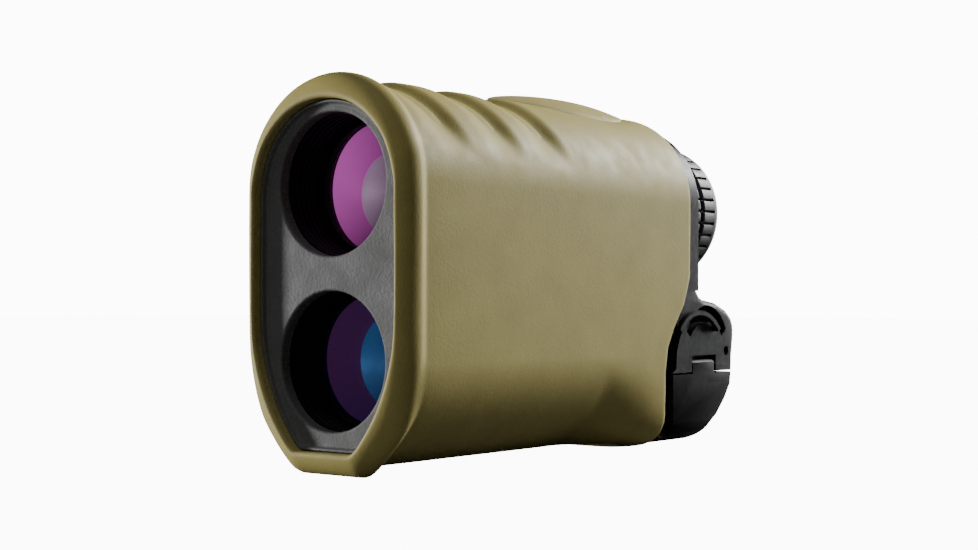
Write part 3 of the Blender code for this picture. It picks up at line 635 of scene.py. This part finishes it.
def objective(name, node, z, rim_r, rim_y, disc_r, disc_y, drop, glass_mat, seat_mat, disc_mat):
    """Coated front element, the flared seat behind it and the hollow face of the rear element.

    The rear element sits `drop` lower than the front one."""
    shares = [k / DISC_STEPS for k in range(1, DISC_STEPS + 1)]
    front = [(rim_r * math.sqrt(t), rim_y - 1.2 * (1 - t)) for t in shares]
    rear = [(r, rim_y + 0.9 - 0.6 * (1 - (r / rim_r) ** 2)) for r, _ in reversed(front)]
    middle = rim_r * 0.08
    profile = [(middle, rim_y - 1.2)] + front + rear + [(middle, rim_y + 0.3)]
    lens_piece(name + "_front_element", turned_rings(profile, z), False, glass_mat, (node,))

    outer, inner, start = rim_r - 0.15, disc_r + 0.1, rim_y + 1.1
    seat = [(outer + (inner - outer) * t, start + (disc_y - start) * t ** 0.8)
            for t in np.linspace(0, 1, 9)]
    rings = []
    for radius, y in seat + [(inner, disc_y + 0.8), (outer, disc_y + 0.8)]:
        share = min(max((outer - radius) / (outer - disc_r), 0.0), 1.0)
        rings += turned_rings([(radius, y)], z - drop * share)
    lens_piece(name + "_seat", rings, True, seat_mat)

    hollow = [(disc_r * math.sqrt(t), disc_y + 0.1 + 2.4 * (1 - t)) for t in shares]
    profile = [(disc_r * 0.06, disc_y + 2.5)] + hollow + [(disc_r, disc_y + 3.4)]
    lens_piece(name + "_rear_element", turned_rings(profile, z - drop), False, disc_mat)


def barrel(name, node, z, inner, outer, ledge_r, ledge_y):
    """Blackened tube with fine anti-glare threads inside."""
    front, back, threads, length = 2.6, 30, 12, ledge_y - 4.2
    pitch, groove = length / threads, inner + 0.25
    profile = [(outer, front), (inner + 0.05, front)]
    for k in range(threads):
        y = 3.0 + length * k / threads
        profile += [(inner, y), (inner, y + pitch * 0.45), (groove, y + pitch * 0.6),
                    (groove, y + pitch * 0.85)]
    profile += [(inner, ledge_y - 1.1), (inner, ledge_y), (ledge_r, ledge_y), (ledge_r, back),
                (outer, back)]
    piece(name, turned_rings(profile, z, 96), True, ALLOY, BODY, (node,), 30)


def optics():
    violet = glass("violet_coating", (0.2, 0.03, 0.3), 0.14, 0.02, 0.25)
    indigo = glass("indigo_coating", (0.03, 0.02, 0.14), 0.2, 0.02, 0.25)
    # Seats and rear elements carry painted reflections and painted emission: lit at the upper
    # left, shaded at the lower right.
    magenta = painted_reflection("magenta_seat_painted_reflection", (-6, 0), (0.9, 0.17, 0.74), (0.08, 0.008, 0.06),
                               7, 0.4, 0.3, 0.52)
    plum = painted_reflection("plum_seat_painted_reflection", (-6, RECEIVER_Z), (0.16, 0.04, 0.18),
                            (0.06, 0.015, 0.09), 8, 0.4, 0.3, 0.25)
    pearl = painted_reflection("pearl_element_painted_reflection", (-3, 0), (0.55, 0.38, 0.55), (0.01, 0.002, 0.01),
                             4, 0.4, 0.4, 0.42)
    azure = painted_reflection("azure_element_painted_reflection", (-3, RECEIVER_Z), (0.03, 0.15, 0.4),
                             (0.006, 0.025, 0.08), 5, 0.35, 0.5, 0.4)
    barrel("viewing_barrel", "objective_tube", 0.0, 12.95, 14.3, 11.6, 19.6)
    barrel("receiver_barrel", "receiver_tube", RECEIVER_Z, 12.7, 14.0, 11.4, 19.6)
    objective("viewing", "objective_lens", 0.0, 12.55, 12.3, 7.9, 16.7, 1.0,
              violet, magenta, pearl)
    objective("receiver", "receiver_lens", RECEIVER_Z, 12.3, 10.4, 9.4, 18.0, 0.4,
              indigo, plum, azure)


# Rear housing and battery door
# Side outlines in (y, z)
BULGE = [(BULGE_FRONT, -17), (98.8, -16.6), (99.3, -18.6), (100.6, -20.0), (102.6, -20.9),
         (108.0, -21.6), (112.4, -23.1), (114.8, -24.8), (115.8, -26.6), (116.0, -28.6),
         (115.7, -31.0), (115.2, -34.0), (115.1, -37.4), (114.6, -40.6), (112.0, -44.0),
         (108.4, -47.4), (103.6, -50.2), (98.4, BULGE_FLOOR), (BULGE_FRONT, BULGE_FLOOR)]
DOOR_POCKET = [(90.3, -30), (113.3, -30), (113.3, -37.8), (112.0, -40.8), (109.6, -43.4),
               (106.2, -46.4), (102.2, -48.6), (98.0, -50.3), (90.3, -50.3)]
SIDE_RECESS = [(84.0, -27.2), (93.2, -27.2), (91.4, -29.4), (90.2, -32.5), (89.9, -36.2),
               (88.6, -37.1), (88.6, -60.0), (84.0, -60.0)]


def polar(y, z, radius, degrees):
    angle = math.radians(degrees)
    return y + radius * math.cos(angle), z + radius * math.sin(angle)


def named(obj, name):
    obj.name = obj.data.name = name
    return obj


def bulge_body(name):
    """Battery housing with rolled side rims and rounded lower corners."""
    obj = named(prism_x(BULGE, -BULGE_X, BULGE_X), name)
    bm = bmesh.new()
    bm.from_mesh(obj.data)
    front = (BULGE_FRONT + 1 + SHIFT.y) * MM
    rim = [e for e in bm.edges if abs(e.verts[0].co.x - e.verts[1].co.x) < 1e-6
           and max(v.co.y for v in e.verts) > front]
    bmesh.ops.bevel(bm, geom=rim, offset=1.8 * MM, segments=8, profile=0.5, affect="EDGES",
                    clamp_overlap=True)
    bm.to_mesh(obj.data)
    bm.free()
    half, floor, corner = BULGE_X + 0.01, BULGE_FLOOR - 0.01, 4.5
    arc = [math.pi / 2 * k / 12 for k in range(13)]
    right = [(half, 20.0)] + [(half - corner + corner * math.cos(a),
                               floor + corner - corner * math.sin(a)) for a in arc]
    left = [(-x, z) for x, z in reversed(right)]
    apply_boolean(obj, prism_y(right + left, 70, 130), "INTERSECT")
    return obj


def housing_half(name, node, x0, x1, cuts, joined=()):
    """The part of the hollow housing between x0 and x1, with the cuts of that side."""
    half = named(prism_y(stadium(HOUSING_R), HOUSING_FRONT, REAR_WALL), name)
    apply_boolean(half, block(-FAR, FAR, 84.7, 130, -70, -19.0))
    apply_boolean(half, bulge_body("bulge"), "UNION")
    hollow = prism_y(stadium(16.9, count=120), -2, 97.2)
    apply_boolean(hollow, block(-FAR, FAR, 83.9, 100, -60, -19.5))
    battery_room = block(-16.0, 14.4, 90.4, 110.6, -60, -24.2)
    door_room = block(-FAR, FAR, DOOR_FRONT - 0.3, 130, -70, DOOR_TOP + DOOR_GAP)
    eyepiece_bore = rod_y(0, EYE_Z, 11.5, 90, 105, 96)
    boss_hole = prism_z(circle(0, BOSS_Y, BOSS_HOLE_R, 32), 10, 25)
    for tool in (hollow, battery_room, door_room, eyepiece_bore, boss_hole, *cuts):
        apply_boolean(half, tool)
    for tool, operation in joined:
        apply_boolean(half, tool, operation)
    apply_boolean(half, block(x0, x1, -10, 130, -70, 40), "INTERSECT")
    soften(half, 0.22)
    adopt(half, BLACK, BODY, (node,))


def rear_housing():
    reach = [(39, 11.3), (50, 11.7), (62, 12.1), (76, 12.5), (90, 12.6), (104, 12.3), (116, 11.7),
             (128, 11.2), (141, 10.9)]
    angles = np.linspace(39, 141, 35)
    slot = [polar(SLOT_Y, SLOT_Z, r, a) for r, a in zip(np.interp(angles, *zip(*reach)), angles)]
    slot += [polar(SLOT_Y, SLOT_Z, 8.85, a) for a in reversed(angles)]
    corners = ((-0.8, -3.6), (0.8, -3.6), (0.8, 3.6), (-0.8, 3.6))
    feet = [[polar(STRAP_Y, SLOT_Z, STRAP_R + dr, angle + da) for dr, da in corners]
            for angle in (43, 137)]
    tab_room = block(16.3, FAR, TAB_Y0 - 0.4, TAB_Y1 + 0.8, -45, TAB_TOP + 1.0)
    screw_hole = prism_x(circle(SCREW_Y, SCREW_Z, SCREW_R, 32), 14, FAR)
    cuts = [prism_x(SIDE_RECESS, 16.6, FAR), tab_room, prism_x(slot, 15.2, FAR), screw_hole]
    cuts += [prism_x(foot, 16.0, FAR) for foot in feet]
    housing_half("housing_right_shell", "housing_right", HALF_GAP, FAR, cuts)

    cuts = [rod_y(HINGE_X, HINGE_Z, BARREL_ROOM, y0, y1)
            for y0, y1 in ((91.7, 96.2), (103.8, 108.3))]
    hinge = [(rod_y(HINGE_X, HINGE_Z, BARREL_R, 96.3, 103.7), "UNION"),
             (rod_y(HINGE_X, HINGE_Z, PIN_R, 90, 110), "DIFFERENCE")]
    housing_half("housing_left_shell", "housing_left", -FAR, -HALF_GAP, cuts, hinge)


def battery_door():
    """Lower shell of the battery housing, with its latch tab and two hinge barrels."""
    door = bulge_body("battery_door_shell")
    apply_boolean(door, block(-FAR, FAR, DOOR_FRONT, 130, -70, DOOR_TOP), "INTERSECT")
    apply_boolean(door, prism_x(DOOR_POCKET, -16.2, 16.2))
    chamfer = 0.6
    tab = [(16.6, -39.5), (BULGE_X, -39.5), (BULGE_X, TAB_TOP - chamfer),
           (BULGE_X - chamfer, TAB_TOP), (16.6, TAB_TOP)]
    apply_boolean(door, prism_y(tab, TAB_Y0, TAB_Y1), "UNION")
    apply_boolean(door, rod_y(HINGE_X, HINGE_Z, BARREL_ROOM, 95.9, 104.1))
    for y0, y1 in ((92.0, 95.9), (104.1, 108.0)):
        apply_boolean(door, rod_y(HINGE_X, HINGE_Z, BARREL_R, y0, y1), "UNION")
    apply_boolean(door, rod_y(HINGE_X, HINGE_Z, PIN_R, 90, 110))
    soften(door, 0.2)
    adopt(door, SHADED_DOOR_BLACK, DOOR, ("battery_door",))


# Eyepiece
TOOTH = ((0.0, 0.0), (0.15, 0.0), (0.17, 0.6), (0.2, 0.92), (0.26, 1.0), (0.58, 1.02),
         (0.9, 1.0), (0.96, 0.92), (0.99, 0.6))     # share of the pitch, share of the height


def toothed(name, node, stations, rest, mat):
    """Sleeve with rounded rectangular teeth, closed by the plain rings of `rest`.

    Stations are (y, root radius, crest radius, share of the full tooth height)."""
    pitch = math.tau / TEETH
    rings = []
    for y, root, crest, height in stations:
        ring = []
        for tooth in range(TEETH):
            for share, rise in TOOTH:
                radius = root + (crest - root) * rise * height
                angle = (tooth + share) * pitch
                ring.append((radius * math.cos(angle), y, EYE_Z + radius * math.sin(angle)))
        rings.append(ring)
    angles = [(tooth + share) * pitch for tooth in range(TEETH) for share, _ in TOOTH]
    for radius, y in rest:
        rings.append([(radius * math.cos(a), y, EYE_Z + radius * math.sin(a)) for a in angles])
    piece(name, rings, True, mat, DIOPTER, (node,))


def eyepiece():
    inner, root, crest = 11.5, 14.85, 15.7
    ring = [(99.5, root, crest, 0.0), (99.6, root, crest, 0.8), (99.9, root, crest, 1.0),
            (104.4, root, crest, 1.0), (104.7, root, crest, 0.9), (104.9, root, crest, 0.55),
            (105.0, root, crest, 0.0)]
    rest = [(14.0, 105.05), (inner, 105.05), (inner, 99.4), (14.0, 99.4)]
    toothed("diopter_grip", "diopter_ring", ring, rest, BLACK)
    cup = [(106.2, root, crest, 0.0), (106.25, root, crest, 0.7), (106.5, root, crest, 1.0),
           (110.2, root, crest, 1.0), (110.45, root, crest, 1.0), (110.6, 15.55, crest, 1.0)]
    rest = [(15.72, 110.8), (15.72, 111.5), (15.55, 112.2), (15.1, 113.1), (14.3, 114.2),
            (13.3, 115.2), (12.4, 115.85), (11.7, 116.1), (11.0, 116.0), (10.4, 115.5),
            (10.0, 114.8), (9.9, 114.1), (10.3, 113.6), (inner, 113.4), (inner, 105.3),
            (14.0, 105.3), (14.2, 105.5), (14.2, 106.1)]
    toothed("eyecup_skin", "eyecup", cup, rest, CUP)


# Stage
def soft_light(name, location, size, power):
    """Square white area light that looks at the middle of the object."""
    data = bpy.data.lights.new(name, "AREA")
    data.size = size
    data.energy = power
    lamp = bpy.data.objects.new(name, data)
    lamp.location = location
    direction = Vector((0, 0, 0.037)) - Vector(location)
    lamp.rotation_euler = direction.to_track_quat("-Z", "Y").to_euler()
    bpy.context.scene.collection.objects.link(lamp)


def stage():
    """White surroundings and floor for the camera, dim ones for the light on the object."""
    world = bpy.data.worlds.new("studio")
    bpy.context.scene.world = world
    world.use_nodes = True
    tree = world.node_tree
    path = tree.nodes.new("ShaderNodeLightPath")
    strength = tree.nodes.new("ShaderNodeMapRange")
    strength.inputs["To Min"].default_value = 0.06
    strength.inputs["To Max"].default_value = 12.0
    tree.links.new(path.outputs["Is Camera Ray"], strength.inputs["Value"])
    background = tree.nodes["Background"]
    tree.links.new(strength.outputs["Result"], background.inputs["Strength"])
    background.inputs["Color"].default_value = (1, 1, 1, 1)

    mesh = bpy.data.meshes.new("floor")
    mesh.from_pydata([(-3, -3, 0), (3, -3, 0), (3, 3, 0), (-3, 3, 0)], [], [(0, 1, 2, 3)])
    floor = bpy.data.objects.new("floor", mesh)
    bpy.context.scene.collection.objects.link(floor)
    pale = Shader("pale_floor", (0.1, 0.1, 0.1), 0.9, Specular_IOR_Level=0.0)
    pale.bsdf.inputs["Emission Color"].default_value = (1, 1, 1, 1)
    seen = pale.node("ShaderNodeLightPath").outputs["Is Camera Ray"]
    pale.link(pale.math("MULTIPLY", seen, 11.0), pale.bsdf.inputs["Emission Strength"])
    mesh.materials.append(pale.mat)

    soft_light("key", (-0.706, -0.376, 0.037), 0.13, 12.5)
    soft_light("front", (-0.21, -0.77, 0.037), 0.16, 0.5)
    soft_light("lens_card", (0.12, -0.78, 0.05), 0.12, 0.4)
    soft_light("rear", (0.218, 0.672, 0.412), 0.2, 16.0)
    soft_light("top", (-0.08, -0.3, 0.8), 0.3, 1.1)
    soft_light("rear_low", (0.139, 0.786, 0.093), 0.2, 2.0)


def camera():
    data = bpy.data.cameras.new("camera")
    data.lens = 59.18
    data.sensor_width = 36
    data.shift_y = 0.0296
    data.clip_start = 0.01
    view = bpy.data.objects.new("camera", data)
    view.location = (0.20367, -0.26921, 0.03138)
    view.rotation_euler = (math.pi / 2, 0, math.radians(38.16))
    bpy.context.scene.collection.objects.link(view)
    bpy.context.scene.camera = view


camera()
armour()
fire_button()
bezel()
optics()
rear_housing()
battery_door()
eyepiece()
stage()
